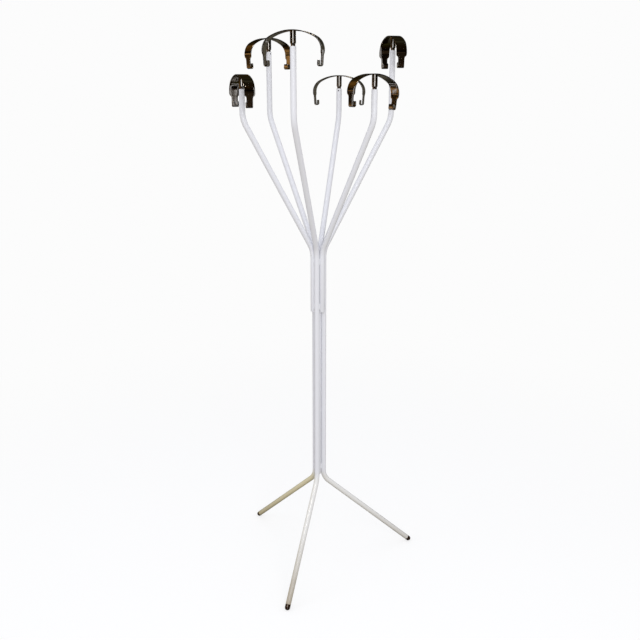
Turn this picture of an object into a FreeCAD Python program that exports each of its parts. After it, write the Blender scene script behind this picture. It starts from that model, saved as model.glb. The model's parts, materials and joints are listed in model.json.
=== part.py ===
"""Free-standing coat tree, in millimetres.

Three long tubes are each bent into a leg, a third of the column and a high arm.  Three short tubes lie
between them in the upper column and are the low arms.  A chromed spring-strip arch turns on a spigot in
the top of every arm, and its two curled ends carry the coats.  The origin is on the column's axis at
floor level, +Z is up, and the front leg points along -Y.
"""
import FreeCAD, Part
import math
import os

# Overall
OVERALL_HEIGHT = 1800.0        # floor to the top of the high arches
TIER_DROP = 115.0              # high arches to low arches
FOOT_RADIUS = 348.0            # column axis to the centre of a foot's dome
ARM_RADIUS = 238.0             # column axis to the upright end of an arm

# Tubes
TUBE_OD = 17.5
TUBE_WALL = 1.5
TUBE_GAP = 0.1                 # paint between neighbouring tubes of the column
LEG_CORNER_Z = 308.0           # where a leg's line meets the column's line
ARM_CORNER_Z = 1135.0          # where an arm's slope leaves the column's line
UPRIGHT_CORNER_Z = 1552.0      # where the slope meets the arm's upright end
LEG_BEND_R = 60.0
ARM_BEND_R = 95.0
SHORT_TUBE_END_Z = 930.0
CORE_BOTTOM_Z = 325.0
CORE_TOP_Z = 1118.0

# Feet and plugs
DOME_SINK = 0.5                # how much of each dome is worn flat
CAP_COLLAR = 9.25              # straight part of a foot cap, from tube to dome
CAP_STEM = 20.0
PLUG_STEM = 12.0
PLUG_HEAD = 2.0
PLUG_RIM_R = 0.8

# Arches
HOOK_RISE = 43.0               # tube top to the top of its arch
STRIP_WIDTH = 33.5
STRIP_THICKNESS = 2.8
ARCH_HALF_SPAN = 87.5          # to the outside of the strip
ARCH_DEPTH = 53.0              # top to the widest point
ARCH_SHOULDER_R = 40.0
ARCH_LEAN = 3.5                # how far a leg of the arch leans in, degrees
CREASE_R = 5.0
SHOULDER_DROP = 54.0           # top of the arch to the start of the narrowing
TONGUE_WIDTH = 20.0
TONGUE_TOP_DROP = 72.0         # top of the arch to where the tongue has its own width
CURL_R = 5.0                   # to the middle of the strip
CURL_DEPTH = 97.0              # top of the arch to the bottom of the curl
CURL_TIP = 10.5                # straight end of the curl
TIP_CORNER_R = 2.5

# Posts, bushes and screws
POST_D = 17.0
NECK_D = 13.0
NECK_HEIGHT = 5.0
NECK_TAPER = 3.0
SPIGOT_D = 10.0
SPIGOT_LENGTH = 36.0
RUNNING_GAP = 0.05
BUSH_LENGTH = 38.0
GRUB_D = 4.0
GRUB_DROP = 6.5                # tube top to the grub screw's axis
GRUB_SINK = 0.4
GRUB_CLEARANCE = 0.3           # between the grub screw's tip and the spigot's groove
GROOVE_D = 7.0
SCREW_D = 5.0
SCREW_HEAD_D = 9.2
SCREW_HEAD_H = 2.1
SCREW_LENGTH = 20.0
SLOT_WIDTH = 1.2
SLOT_DEPTH = 1.0
SPIGOT_CHAMFER = 1.0

# Welds
WELD_LENGTH = 22.0
WELD_BELOW_ARMS = 24.0         # arm corner to the top of the upper welds
WELD_ABOVE_ENDS = 6.0          # short tube's end to the bottom of the middle welds
WELD_ABOVE_LEGS = 34.0         # leg corner to the bottom of the lower welds
BEAD_R = 2.2
BEAD_OUT = 0.56                # middle of a bead, out from the tubes' line, as a share of a tube's radius

# Worked out from the above
TUBE_R = TUBE_OD / 2
TUBE_BORE_R = TUBE_R - TUBE_WALL
RING_R = TUBE_OD + TUBE_GAP
DOME_Z = TUBE_R - DOME_SINK
HIGH_TUBE_TOP = OVERALL_HEIGHT - HOOK_RISE
LOW_TUBE_TOP = HIGH_TUBE_TOP - TIER_DROP

ARMS = {"front": 0, "front_right": 60, "back_right": 120, "back": 180, "back_left": 240, "front_left": 300}
LONG_ARMS = ("front", "back_right", "back_left")
HOOK_TURNS = {"front_right": -4.0, "front_left": 8.0}  # degrees that a hook stands turned on its spigot
STRIP_TILTS = {"front_right": -4.0}    # degrees that a strip leans over on its post, in its own plane
SPARE = 10.0                           # how far a cutting shape runs past what it cuts

UP = FreeCAD.Vector(0, 0, 1)
OUT = FreeCAD.Vector(0, -1, 0)
ACROSS = FreeCAD.Vector(1, 0, 0)
ORIGIN = FreeCAD.Vector(0, 0, 0)


def at(out, height, across=0.0):
    """A point given by its distance out from the column's axis, in the front leg's plane."""
    return OUT * out + UP * height + ACROSS * across


def turned(shape, azimuth):
    """A copy of the shape, turned about the column's axis."""
    copy = shape.copy()
    copy.rotate(ORIGIN, UP, azimuth)
    return copy


def cylinder(start, direction, length, radius):
    return Part.makeCylinder(radius, length, start, direction)


def bent_path(points, radii):
    """Straight runs through the points, joined by tangent arcs at the inner ones."""
    edges = []
    start = points[0]
    for before, corner, after, radius in zip(points, points[1:], points[2:], radii):
        back = (before - corner).normalize()
        on = (after - corner).normalize()
        half_turn = (math.pi - back.getAngle(on)) / 2
        run = radius * math.tan(half_turn)
        first, last = corner + back * run, corner + on * run
        inward = (back + on).normalize()
        middle = corner + inward * (radius / math.cos(half_turn) - radius)
        edges.append(Part.makeLine(start, first))
        edges.append(Part.Arc(first, middle, last).toShape())
        start = last
    edges.append(Part.makeLine(start, points[-1]))
    return Part.Wire(edges)


def bent_tube(points, radii):
    """A round tube of the stock size along a bent path."""
    path = bent_path(points, radii)
    direction = (points[1] - points[0]).normalize()
    rings = [Part.Wire(Part.makeCircle(radius, points[0], direction)) for radius in (TUBE_R, TUBE_BORE_R)]
    outside, bore = (path.makePipeShell([ring], True, False) for ring in rings)
    return outside.cut(bore)


def leg_direction():
    """Unit vector down a leg, from the column to the foot."""
    return (at(FOOT_RADIUS, DOME_Z) - at(RING_R, LEG_CORNER_Z)).normalize()


def grub_hole(tube_top):
    """Hole for the grub screw, through the side of an arm that faces the column."""
    axis_point = at(ARM_RADIUS, tube_top - GRUB_DROP)
    tip = GROOVE_D / 2 + GRUB_CLEARANCE
    return cylinder(axis_point - OUT * tip, -OUT, TUBE_R - tip + GRUB_SINK, GRUB_D / 2)


def arm_points(tube_top):
    """Corners of an arm, from the column up to its open end."""
    return [at(RING_R, ARM_CORNER_Z), at(ARM_RADIUS, UPRIGHT_CORNER_Z), at(ARM_RADIUS, tube_top)]


def long_tube():
    """Leg, column and high arm in one bent tube."""
    foot_end = at(FOOT_RADIUS, DOME_Z) - leg_direction() * CAP_COLLAR
    points = [foot_end, at(RING_R, LEG_CORNER_Z)] + arm_points(HIGH_TUBE_TOP)
    tube = bent_tube(points, [LEG_BEND_R, ARM_BEND_R, ARM_BEND_R])
    return tube.cut(grub_hole(HIGH_TUBE_TOP))


def short_tube():
    """Half the column's length and a low arm in one bent tube."""
    points = [at(RING_R, SHORT_TUBE_END_Z)] + arm_points(LOW_TUBE_TOP)
    tube = bent_tube(points, [ARM_BEND_R, ARM_BEND_R])
    return tube.cut(grub_hole(LOW_TUBE_TOP))


def core_tube():
    """The straight tube that the others stand around."""
    length = CORE_TOP_Z - CORE_BOTTOM_Z
    outside = cylinder(at(0, CORE_BOTTOM_Z), UP, length, TUBE_R)
    return outside.cut(cylinder(at(0, CORE_BOTTOM_Z), UP, length, TUBE_BORE_R))


def foot_cap():
    """Domed plug in a leg's end, worn flat where it stands."""
    direction = leg_direction()
    dome = Part.makeSphere(TUBE_R, at(FOOT_RADIUS, DOME_Z))
    collar_start = at(FOOT_RADIUS, DOME_Z) - direction * CAP_COLLAR
    collar = cylinder(collar_start, direction, CAP_COLLAR, TUBE_R)
    stem = cylinder(collar_start - direction * CAP_STEM, direction, CAP_STEM, TUBE_BORE_R)
    half = cylinder(at(FOOT_RADIUS, DOME_Z), direction, TUBE_OD, TUBE_OD)
    cap = collar.fuse([dome.common(half), stem]).removeSplitter()
    return cap.cut(cylinder(at(FOOT_RADIUS, 0), -UP, TUBE_OD, TUBE_OD))


def end_plug(centre, outward):
    """Flat-headed plug in a tube end, its head as wide as the tube and rounded at the rim."""
    head = cylinder(centre, outward, PLUG_HEAD, TUBE_R)
    rim = [edge for edge in head.Edges if edge.BoundBox.DiagonalLength > TUBE_R
           and abs((edge.CenterOfMass - centre).dot(outward) - PLUG_HEAD) < 0.01]
    head = head.makeFillet(PLUG_RIM_R, rim)
    stem = cylinder(centre - outward * PLUG_STEM, outward, PLUG_STEM, TUBE_BORE_R)
    return head.fuse(stem).removeSplitter()


def on_arc(centre, radius, angle):
    """A point of a circle in the arch's plane, its angle counted up from the plane's right-hand side."""
    return centre + ACROSS * (radius * math.cos(angle)) + UP * (radius * math.sin(angle))


def crown_radius():
    """Radius of the crown arc that meets the shoulder arc smoothly."""
    offset = ARCH_HALF_SPAN - STRIP_THICKNESS / 2 - ARCH_SHOULDER_R
    depth = ARCH_DEPTH - STRIP_THICKNESS / 2
    return (offset ** 2 + depth ** 2 - ARCH_SHOULDER_R ** 2) / (2 * (depth - ARCH_SHOULDER_R))


def arch_path(top):
    """Middle line of half an arch: crown, shoulder, crease, straight leg, curl and its short tip."""
    half_span = ARCH_HALF_SPAN - STRIP_THICKNESS / 2
    crown_point = at(0, top - STRIP_THICKNESS / 2)
    crown_centre = crown_point - UP * crown_radius()
    shoulder_centre = at(0, top - ARCH_DEPTH, half_span - ARCH_SHOULDER_R)
    toward = (shoulder_centre - crown_centre).normalize()
    rise = math.atan2(toward.z, toward.x)
    join = crown_centre + toward * crown_radius()
    widest = at(0, top - ARCH_DEPTH, half_span)
    crown_middle = on_arc(crown_centre, crown_radius(), (math.pi / 2 + rise) / 2)
    shoulder_middle = on_arc(shoulder_centre, ARCH_SHOULDER_R, rise / 2)

    lean = math.radians(ARCH_LEAN)
    crease_centre = widest - ACROSS * CREASE_R
    leg_start = on_arc(crease_centre, CREASE_R, -lean)
    down = ACROSS * -math.sin(lean) - UP * math.cos(lean)
    inward = ACROSS * -math.cos(lean) + UP * math.sin(lean)
    curl_centre_z = top - CURL_DEPTH + CURL_R + STRIP_THICKNESS / 2
    leg_end = leg_start + down * ((leg_start.z - curl_centre_z + CURL_R * math.sin(lean)) / math.cos(lean))
    curl_centre = leg_end + inward * CURL_R
    tip_start = curl_centre + inward * CURL_R
    curves = [Part.Arc(crown_point, crown_middle, join),
              Part.Arc(join, shoulder_middle, widest),
              Part.Arc(widest, on_arc(crease_centre, CREASE_R, -lean / 2), leg_start),
              Part.LineSegment(leg_start, leg_end),
              Part.Arc(leg_end, curl_centre + down * CURL_R, tip_start),
              Part.LineSegment(tip_start, tip_start - down * CURL_TIP)]
    return Part.Wire([curve.toShape() for curve in curves])


def strip_outline(top):
    """The arch seen from its end: full width above, round shoulders, and a narrow tongue below."""
    half, tongue = STRIP_WIDTH / 2, TONGUE_WIDTH / 2
    upper, lower = top - SHOULDER_DROP, top - TONGUE_TOP_DROP
    middle = (upper + lower) / 2
    step = (half - tongue) / 2
    slant = math.sqrt(0.5)

    def bulge(start, end, side):
        """Point of a quarter-round arc between two corners, bowed to one side."""
        across, along = (end - start) * 0.5, OUT * (side * step * (1 - slant))
        return start + across + along

    points = []
    for side in (1, -1):
        shoulder = at(side * half, upper)
        waist = at(side * (half - step), middle)
        neck = at(side * tongue, lower)
        points.append((shoulder, bulge(shoulder, waist, side), waist, bulge(waist, neck, -side), neck))
    right, left = points
    head = top + SPARE
    foot = top - CURL_DEPTH - SPARE
    tongue_end = Part.makePolygon([right[4], at(tongue, foot), at(-tongue, foot), left[4]])
    crown_end = Part.makePolygon([left[0], at(-half, head), at(half, head), right[0]])
    edges = [Part.Arc(*right[:3]).toShape(), Part.Arc(*right[2:]).toShape(), *tongue_end.Edges,
             Part.Arc(*left[2:][::-1]).toShape(), Part.Arc(*left[:3][::-1]).toShape(), *crown_end.Edges]
    return Part.Face(Part.Wire(edges))


def hook_band(top):
    """The strip: one half swept, trimmed to its outline, mirrored and drilled for the screw."""
    start = at(STRIP_WIDTH / 2, top - STRIP_THICKNESS)
    corners = [start, at(-STRIP_WIDTH / 2, top - STRIP_THICKNESS), at(-STRIP_WIDTH / 2, top),
               at(STRIP_WIDTH / 2, top), start]
    half = arch_path(top).makePipeShell([Part.makePolygon(corners)], True, False)
    reach = ACROSS * (ARCH_HALF_SPAN + SPARE)
    half = half.common(strip_outline(top).extrude(reach))
    tip_edges = [edge for edge in half.Edges if abs(edge.Length - STRIP_THICKNESS) < 0.01
                 and edge.BoundBox.ZMax < top - TONGUE_TOP_DROP]
    half = half.makeFillet(TIP_CORNER_R, tip_edges)
    band = half.fuse(half.mirror(ORIGIN, ACROSS)).removeSplitter()
    return band.translated(OUT * ARM_RADIUS).cut(screw_blank(top))


def screw_blank(top):
    """Countersunk screw before its slot is cut, head up, from the arch down into the post."""
    head_top = at(ARM_RADIUS, top)
    head = Part.makeCone(SCREW_HEAD_D / 2, SCREW_D / 2, SCREW_HEAD_H, head_top, -UP)
    shank = cylinder(head_top, -UP, SCREW_LENGTH, SCREW_D / 2)
    return head.fuse(shank).removeSplitter()


def slotted(screw, centre, outward, along):
    """The screw with a driver's slot cut across its face."""
    side = outward.cross(along)
    corner = centre - along * SPARE - side * (SLOT_WIDTH / 2) - outward * SLOT_DEPTH
    slot = Part.makeBox(2 * SPARE, SLOT_WIDTH, SLOT_DEPTH + SPARE)
    slot.Placement = FreeCAD.Placement(corner, FreeCAD.Rotation(along, side, outward, "XYZ"))
    return screw.cut(slot)


def hook_screw(top):
    return slotted(screw_blank(top), at(ARM_RADIUS, top), UP, ACROSS)


def above_post(top):
    """What a post's top is cut away by: the strip, all above it, and the screw."""
    underside_r = crown_radius() - STRIP_THICKNESS / 2
    underside_axis = at(ARM_RADIUS + POST_D, top - STRIP_THICKNESS - underside_r)
    below_strip = cylinder(underside_axis, -OUT, 2 * POST_D, underside_r)
    corner = at(ARM_RADIUS + POST_D, top - 2 * STRIP_THICKNESS, -POST_D)
    block = Part.makeBox(2 * POST_D, 2 * POST_D, POST_D, corner)
    return block.cut(below_strip).fuse(screw_blank(top))


def hook_post(tube_top, tilt):
    """Turned post: body, taper and neck above the tube, and the spigot that turns in the bush."""
    top = tube_top + HOOK_RISE
    base = tube_top + RUNNING_GAP
    groove_top = tube_top - GRUB_DROP + GRUB_D / 2 + GRUB_CLEARANCE
    groove_bottom = groove_top - GRUB_D - 2 * GRUB_CLEARANCE
    spigot_end = tube_top - SPIGOT_LENGTH
    profile = [(0, top), (POST_D / 2, top), (POST_D / 2, base + NECK_HEIGHT + NECK_TAPER),
               (NECK_D / 2, base + NECK_HEIGHT), (NECK_D / 2, base), (SPIGOT_D / 2, base),
               (SPIGOT_D / 2, groove_top), (GROOVE_D / 2, groove_top), (GROOVE_D / 2, groove_bottom),
               (SPIGOT_D / 2, groove_bottom), (SPIGOT_D / 2, spigot_end + SPIGOT_CHAMFER),
               (SPIGOT_D / 2 - SPIGOT_CHAMFER, spigot_end), (0, spigot_end), (0, top)]
    outline = Part.makePolygon([at(ARM_RADIUS, height, across) for across, height in profile])
    post = Part.Face(outline).revolve(at(ARM_RADIUS, 0), UP, 360)
    return post.cut(tilted(above_post(top), top, tilt))


def tilted(shape, top, tilt):
    """The shape, leaned over in the arch's plane about the strip's top."""
    shape.rotate(at(ARM_RADIUS, top), OUT, tilt)
    return shape


def socket_bush(tube_top):
    """Sleeve in a tube's top, drilled for the grub screw."""
    bottom = at(ARM_RADIUS, tube_top - BUSH_LENGTH)
    sleeve = cylinder(bottom, UP, BUSH_LENGTH, TUBE_BORE_R)
    bore = cylinder(bottom, UP, BUSH_LENGTH, SPIGOT_D / 2 + RUNNING_GAP)
    return sleeve.cut(bore).cut(grub_hole(tube_top))


def grub_screw(tube_top):
    """Headless screw through tube and bush, its tip in the spigot's groove."""
    tip = GROOVE_D / 2 + GRUB_CLEARANCE
    axis_point = at(ARM_RADIUS, tube_top - GRUB_DROP)
    face = axis_point - OUT * (TUBE_R - GRUB_SINK)
    body = cylinder(axis_point - OUT * tip, -OUT, TUBE_R - GRUB_SINK - tip, GRUB_D / 2)
    return slotted(body, face, -OUT, ACROSS)


def ring_point(azimuth):
    """Centre of the column's tube at an azimuth, at floor level."""
    return turned(Part.Vertex(at(RING_R, 0)), azimuth).Point


def weld_bead(first, second, bottom):
    """A bead in the valley between two tubes, on the right-hand side going from first to second."""
    side = (second - first).cross(UP).normalize()
    middle = (first + second) * 0.5 + side * (TUBE_R * BEAD_OUT) + UP * bottom
    bead = cylinder(middle, UP, WELD_LENGTH, BEAD_R)
    for centre in (first, second):
        bead = bead.cut(cylinder(centre + UP * (bottom - SPARE), UP, WELD_LENGTH + 2 * SPARE, TUBE_R))
    return bead


def ring_welds(bottom):
    """Beads in the outer valleys between all six tubes."""
    azimuths = list(ARMS.values())
    neighbours = zip(azimuths, azimuths[1:] + azimuths[:1])
    return Part.makeCompound([weld_bead(ring_point(a), ring_point(b), bottom) for a, b in neighbours])


def core_welds(bottom):
    """Beads on both sides of each long tube, where it touches the core tube."""
    beads = []
    for name in LONG_ARMS:
        tube = ring_point(ARMS[name])
        beads.append(weld_bead(ORIGIN, tube, bottom))
        beads.append(weld_bead(tube, ORIGIN, bottom))
    return Part.makeCompound(beads)


def write(name, shape):
    """Check a sub-part and write its STEP file."""
    if not shape.isValid():
        raise ValueError(name + " is not a valid shape")
    shape.exportStep("parts/" + name + ".step")
    print(name, "solids", len(shape.Solids), "volume", round(shape.Volume))


os.makedirs("parts", exist_ok=True)

for name, azimuth in ARMS.items():
    is_long = name in LONG_ARMS
    tube_top = HIGH_TUBE_TOP if is_long else LOW_TUBE_TOP
    arch_top = tube_top + HOOK_RISE
    if is_long:
        write("long_tube_" + name, turned(long_tube(), azimuth))
        write("foot_cap_" + name, turned(foot_cap(), azimuth))
    else:
        write("short_tube_" + name, turned(short_tube(), azimuth))
        write("end_plug_" + name, turned(end_plug(at(RING_R, SHORT_TUBE_END_Z), -UP), azimuth))
    write("socket_bush_" + name, turned(socket_bush(tube_top), azimuth))
    write("grub_screw_" + name, turned(grub_screw(tube_top), azimuth))
    tilt = STRIP_TILTS.get(name, 0.0)
    hook = {"hook_post_": hook_post(tube_top, tilt),
            "hook_band_": tilted(hook_band(arch_top), arch_top, tilt),
            "hook_screw_": tilted(hook_screw(arch_top), arch_top, tilt)}
    for piece, shape in hook.items():
        shape.rotate(at(ARM_RADIUS, 0), UP, HOOK_TURNS.get(name, 0.0))
        write(piece + name, turned(shape, azimuth))

write("core_tube", core_tube())
write("core_plug_top", end_plug(at(0, CORE_TOP_Z), UP))
write("core_plug_bottom", end_plug(at(0, CORE_BOTTOM_Z), -UP))

write("welds_top", ring_welds(ARM_CORNER_Z - WELD_BELOW_ARMS - WELD_LENGTH))
write("welds_middle", ring_welds(SHORT_TUBE_END_Z + WELD_ABOVE_ENDS))
write("welds_bottom", core_welds(LEG_CORNER_Z + WELD_ABOVE_LEGS))
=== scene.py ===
"""Free-standing coat tree of white enamelled tube with chromed strip hooks, dressed around its CAD frame."""
import json
import logging
import math
from dataclasses import dataclass
from enum import Enum
from functools import partial
from typing import Any, Callable, Iterable, Optional, Union

import bmesh
import bpy
from bmesh.types import BMEdge, BMesh, BMVert
from bpy.types import Material, Mesh, Node, NodeSocket, NodeTree, Object
from mathutils import Matrix, Vector


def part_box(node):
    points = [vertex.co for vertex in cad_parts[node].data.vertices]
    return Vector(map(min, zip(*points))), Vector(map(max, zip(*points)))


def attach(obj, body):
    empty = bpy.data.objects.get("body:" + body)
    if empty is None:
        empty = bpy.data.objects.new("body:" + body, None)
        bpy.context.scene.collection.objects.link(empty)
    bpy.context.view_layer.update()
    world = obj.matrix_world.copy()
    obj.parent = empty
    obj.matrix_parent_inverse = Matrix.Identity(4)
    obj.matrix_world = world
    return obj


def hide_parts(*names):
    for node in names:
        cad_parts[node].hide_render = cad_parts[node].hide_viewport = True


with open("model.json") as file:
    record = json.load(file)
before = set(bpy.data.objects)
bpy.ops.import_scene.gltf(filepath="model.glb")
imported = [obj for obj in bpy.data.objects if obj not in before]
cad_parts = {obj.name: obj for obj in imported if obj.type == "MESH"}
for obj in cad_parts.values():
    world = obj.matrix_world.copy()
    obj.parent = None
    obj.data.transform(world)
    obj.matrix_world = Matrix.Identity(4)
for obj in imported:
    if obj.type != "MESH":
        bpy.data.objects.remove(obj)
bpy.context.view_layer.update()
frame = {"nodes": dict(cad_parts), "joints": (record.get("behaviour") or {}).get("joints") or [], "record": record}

MM = 0.001
OUT = Vector((0, -1, 0))  # the way the front leg points
UP = Vector((0, 0, 1))
ACROSS = Vector((1, 0, 0))
SPARE = 2.0  # how far a cutting shape runs past what it cuts, mm
WAVE_BANDS = 20  # a wave texture multiplies its place by this
HOOK_TURNS = {"front_right": -4.0, "front_left": 8.0}  # degrees that a hook stands turned on its spigot
HOOK_LEANS = {"front_right": -4.0}  # degrees that a strip leans over on its post

logging.basicConfig(level=logging.INFO, format="%(message)s")
log = logging.getLogger("coat_tree")


class Slot(Enum):
    """The record's material slots."""

    ENAMEL = "white_enamel"
    CAP = "dark_plastic"
    CHROME = "chrome"
    BLACK_STEEL = "black_steel"
    NYLON = "natural_nylon"


class Tier(Enum):
    """Which of the two heights an arm reaches, and the tube that it is part of."""

    HIGH = "long_tube_"
    LOW = "short_tube_"


# ---- colours and nodes


def linear(hex_colour: str, alpha: float = 1.0) -> tuple[float, float, float, float]:
    """Turns an sRGB hex colour to linear.

    Args:
        hex_colour: Six hex digits.
        alpha: The fourth value.

    Returns:
        Linear red, green and blue, and alpha.
    """
    channels = [int(hex_colour[i:i + 2], 16) / 255 for i in (0, 2, 4)]
    red, green, blue = [c / 12.92 if c <= 0.04045 else ((c + 0.055) / 1.055) ** 2.4 for c in channels]
    return red, green, blue, alpha


def add_node(tree: NodeTree, kind: str, sockets: Union[dict, tuple] = (),
             output: Optional[str] = None, **settings: Any) -> Optional[NodeSocket]:
    """Adds a node with its settings and links.

    Args:
        tree: The node tree.
        kind: The node's type, without ShaderNode in front.
        sockets: The inputs by name, or those in use in order, each a value or the output that feeds it.
        output: Name of the output to hand back. Without it, the first one in use.
        settings: The node's own properties.

    Returns:
        One of the node's outputs, or None for a node that has none.
    """
    node = tree.nodes.new("ShaderNode" + kind)
    for name, value in settings.items():
        setattr(node, name, value)
    named = isinstance(sockets, dict)
    inputs = node.inputs if named else [socket for socket in node.inputs if socket.enabled]
    for key, value in sockets.items() if named else enumerate(sockets):
        if isinstance(value, NodeSocket):
            tree.links.new(value, inputs[key])
        else:
            inputs[key].default_value = value
    if output:
        return node.outputs[output]
    return next((socket for socket in node.outputs if socket.enabled), None)


def set_stops(node: Node, stops: Iterable[tuple[float, str]]) -> None:
    """Gives a colour ramp its stops.

    Args:
        node: The ColorRamp node.
        stops: Position and hex colour of each stop, in order.
    """
    ramp = node.color_ramp
    ramp.interpolation = "EASE"
    for index, (position, colour) in enumerate(stops):
        stop = ramp.elements[index] if index < 2 else ramp.elements.new(position)
        stop.position = position
        stop.color = linear(colour)


def new_material(name: str) -> tuple[Material, Callable, NodeSocket]:
    """Makes an empty node material.

    Args:
        name: The material's name.

    Returns:
        The material, add_node for its tree, and the Object coordinates.
    """
    material = bpy.data.materials.new(name)
    material.use_nodes = True
    material.node_tree.nodes.clear()
    add = partial(add_node, material.node_tree)
    return material, add, add("TexCoord", output="Object")


def close_material(material: Material, sockets: dict, relief: NodeSocket, strength: float,
                   height_mm: float) -> Material:
    """Gives a material its bump, its shader and its output.

    Args:
        material: The material.
        sockets: The shader's inputs, apart from its normal.
        relief: Pattern that the bump follows.
        strength: Strength of the bump.
        height_mm: Height of the relief.

    Returns:
        The material.
    """
    add = partial(add_node, material.node_tree)
    bump = add("Bump", {"Height": relief, "Strength": strength, "Distance": height_mm * MM})
    add("OutputMaterial", (add("BsdfPrincipled", {**sockets, "Normal": bump}),))
    return material


def spaced(place: NodeSocket, spacing_mm: float, **more: float) -> dict:
    """A texture's inputs, with the real spacing of its pattern on Object coordinates, which are in metres."""
    return {"Vector": place, "Scale": 1 / (spacing_mm * MM), **more}


# ---- finishes


@dataclass(frozen=True)
class StoveEnamel:
    """Gloss white stove enamel, sprayed on steel tube and baked."""

    # To the eye: cool white with long soft highlights over a faint orange peel and a few dull scuffs; below about
    # 0.3 m it is cream, fullest on the left side, and tan at the feet, which is partly real yellowing and grime,
    # partly painted shade and painted reflection of a warm floor.
    white: str = "EBECF1"
    yellowing_and_warm_reflection: str = "E2DAB8"
    grime_and_floor_reflection: str = "8E7A50"
    scuffed: str = "8E877B"
    warm_tint_below_m: float = 0.31  # legs only
    warm_tint_fade_m: float = 0.03
    shaded_side_m: float = -0.03  # as far left as this, the warm tint is full
    other_side_tint: float = 0.25  # its share on the other side
    grime_and_reflection_below_m: float = 0.2
    grime_and_reflection_power: float = 1.3  # how soon the grime and painted reflection thin upwards
    tan_tip_aside_m: tuple[float, float] = (0.03, 0.1)  # how far aside the tan is full, and least
    least_tan_tip: float = 0.25
    cloud_mm: float = 60.0  # soft patches of grime, painted reflection and gloss
    cloud_band: tuple[float, float] = (0.35, 0.65)
    thin_grime_and_reflection: float = 0.7  # between the patches
    peel_mm: float = 2.4  # orange peel, coarser than the real 1 mm so that it shows
    peel_height_mm: float = 0.012
    peel_strength: float = 0.35
    chip_mm: float = 30.0  # between small chips and scuffs
    chip_share: float = 0.07  # a chip's size as a share of that
    chip_chance: float = 0.35
    ragged_mm: float = 2.5  # notches in a chip's outline
    roughness: tuple[float, float] = (0.11, 0.24)
    ior: float = 1.5

    def build(self) -> Material:
        """Builds the material.

        Returns:
            The material.
        """
        material, add, place = new_material("stove_enamel_white")
        axes = add("SeparateXYZ", (place,)).node.outputs
        # Painted shade and painted warm floor reflection, mixed with real yellowing: below about 0.3 m the white
        # turns cream, fully on the left side and by a quarter on the other.
        low = add("MapRange", (axes["Z"], self.warm_tint_below_m + self.warm_tint_fade_m, self.warm_tint_below_m))
        side = add("MapRange", (axes["X"], 0, self.shaded_side_m, self.other_side_tint))
        warm_share = add("Math", (low, side), operation="MULTIPLY")
        warm_paint = add("Mix", (warm_share, linear(self.white), linear(self.yellowing_and_warm_reflection)), data_type="RGBA")
        cloud = add("TexNoise", spaced(place, self.cloud_mm, Detail=4))
        # Painted warm floor reflection mixed with real grime: tan towards the feet in soft patches, fullest near X
        # = 0.
        patchy = add("MapRange", (cloud, *self.cloud_band, self.thin_grime_and_reflection))
        foot = add("MapRange", (axes["Z"], self.grime_and_reflection_below_m, 0))
        foot = add("Math", (foot, self.grime_and_reflection_power), operation="POWER")
        aside = add("Math", (axes["X"],), operation="ABSOLUTE")
        tan_tip_share = add("MapRange", (aside, *self.tan_tip_aside_m, 1, self.least_tan_tip))
        foot_tan = add("Math", (foot, tan_tip_share), operation="MULTIPLY")
        grime_and_reflection = add("Math", (foot_tan, patchy), operation="MULTIPLY")
        paint = add("Mix", (grime_and_reflection, warm_paint, linear(self.grime_and_floor_reflection)), data_type="RGBA")
        spots = add("TexVoronoi", spaced(place, self.chip_mm)).node.outputs
        ragged = add("TexNoise", spaced(place, self.ragged_mm, Detail=3))
        edge = add("Math", (ragged, self.chip_share), operation="MULTIPLY")
        chip = add("Math", (spots["Distance"], edge), operation="LESS_THAN")
        lot = add("SeparateColor", (spots["Color"],))
        chosen = add("Math", (lot, self.chip_chance), operation="LESS_THAN")
        scuff = add("Math", (chip, chosen), operation="MULTIPLY")
        colour = add("Mix", (scuff, paint, linear(self.scuffed)), data_type="RGBA")
        gloss = add("MapRange", (cloud, 0, 1, *self.roughness))
        rough = add("Math", (gloss, scuff), operation="MAXIMUM")
        peel = add("TexNoise", spaced(place, self.peel_mm))
        return close_material(material, {"Base Color": colour, "Roughness": rough, "IOR": self.ior},
                              peel, self.peel_strength, self.peel_height_mm)


@dataclass(frozen=True)
class BrightChrome:
    """Decorative chrome plate on rolled steel strip and turned posts."""

    # To the eye: a mirror, slightly wavy from rolling, with old rust pits, and a warm cast and brown blotches that
    # are partly real staining, partly painted reflection of a brown room.
    bright: str = "C6C1B8"
    stain_and_reflected_brown: str = "8B7355"
    pitted: str = "3A2C1E"
    wave_mm: float = 22.0  # rolling waves along the strip
    wave_height_mm: float = 0.05
    blotch_mm: float = 16.0
    stain_and_reflection_band: tuple[float, float] = (0.5, 0.75)
    most_stain_and_reflection: float = 0.6
    pit_mm: float = 3.2
    pit_band: tuple[float, float] = (0.5, 0.8)
    pit_share: float = 0.2  # a pit's size as a share of their spacing
    pit_roughness: float = 0.6
    dull_band: tuple[float, float] = (0.4, 0.8)
    roughness: tuple[float, float] = (0.07, 0.22)

    def build(self) -> Material:
        """Builds the material.

        Returns:
            The material.
        """
        material, add, place = new_material("bright_chrome_plate")
        cloud = add("TexNoise", spaced(place, self.blotch_mm, Detail=5, Roughness=0.65))
        # Painted reflection of a brown room mixed with real staining: the base colour is warm, with brown
        # blotches.
        brown_share = add("MapRange", (cloud, *self.stain_and_reflection_band, 0, self.most_stain_and_reflection))
        tint = add("Mix", (brown_share, linear(self.bright), linear(self.stain_and_reflected_brown)), data_type="RGBA")
        grain = add("TexVoronoi", spaced(place, self.pit_mm))
        size = add("MapRange", (cloud, *self.pit_band, 0, self.pit_share))
        pit = add("Math", (grain, size), operation="LESS_THAN")
        colour = add("Mix", (pit, tint, linear(self.pitted)), data_type="RGBA")
        dull = add("MapRange", (cloud, *self.dull_band, *self.roughness))
        rough = add("MapRange", (pit, 0, 1, dull, self.pit_roughness))
        wave = add("TexNoise", spaced(place, self.wave_mm, Detail=1))
        return close_material(material, {"Base Color": colour, "Metallic": 1.0, "Roughness": rough},
                              wave, 1.0, self.wave_height_mm)


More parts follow.
